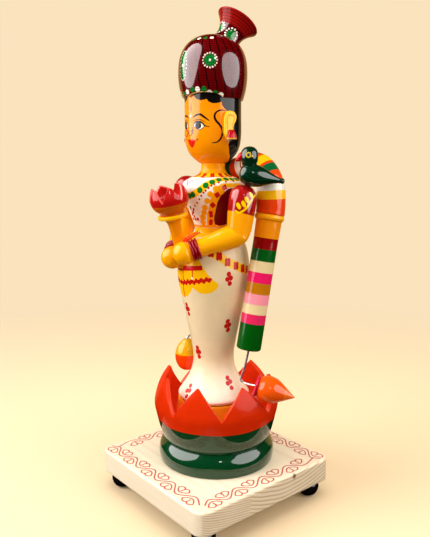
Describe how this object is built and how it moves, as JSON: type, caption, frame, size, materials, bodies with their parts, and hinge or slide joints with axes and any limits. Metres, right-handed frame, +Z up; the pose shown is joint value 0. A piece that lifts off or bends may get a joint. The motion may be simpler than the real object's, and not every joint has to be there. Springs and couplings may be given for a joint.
{
  "type": "lacquered wooden figure",
  "caption": "Turned wooden doll in a crown and painted dress, standing in a lotus seat on a plinth, with a lotus in its hands, a parrot on its shoulder and a garland.",
  "frame": {"origin": "centre of the plinth on the ground, under the ball feet", "axes": "+Z up; the figure faces -Y and its left hand is at +X"},
  "size_m": [0.127, 0.127, 0.3595],
  "materials": {
    "plinth": "bare planed pine with a clear coat",
    "feet": "black gloss lacquer",
    "base_ring": "dark green gloss lacquer",
    "lotus_seat": "orange-red lacquer over a green foot",
    "seat_plug": "amber lacquer",
    "body": "cream lacquer with painted dress",
    "head": "amber lacquer with painted face and hair",
    "crown": "maroon gloss lacquer with painted dots",
    "ears": "amber lacquer",
    "earrings": "red lacquer with painted dots",
    "arms": "amber lacquer with red sleeve and bangles",
    "held_lotus": "red lacquer over amber",
    "parrot": "very dark green gloss lacquer",
    "parrot_beak": "red gloss lacquer",
    "garland": "lacquer in turned colour bands",
    "wire": "plain drawn wire",
    "bud_disc": "pink lacquer",
    "bud": "orange lacquer",
    "bead": "yellow over orange lacquer"
  },
  "bodies": {
    "root": {"plinth_board": "plinth", "foot_front_left": "feet", "foot_front_right": "feet", "foot_back_left": "feet", "foot_back_right": "feet", "base_ring": "base_ring", "lotus_seat": "lotus_seat", "seat_plug": "seat_plug", "body": "body", "head": "head", "crown": "crown", "crown_knot": "crown", "ear_left": "ears", "ear_right": "ears", "earring_left": "earrings", "earring_right": "earrings", "upper_arm_left": "arms", "upper_arm_right": "arms", "forearm_left": "arms", "forearm_right": "arms", "held_lotus": "held_lotus", "parrot_body": "parrot", "parrot_head": "parrot", "parrot_beak": "parrot_beak", "garland_rod_left": "garland", "garland_rod_right": "garland", "garland_arch": "garland", "garland_wire_left": "wire", "garland_wire_right": "wire", "bud_disc": "bud_disc", "bud": "bud", "bead": "bead"}
  },
  "joints": []
}
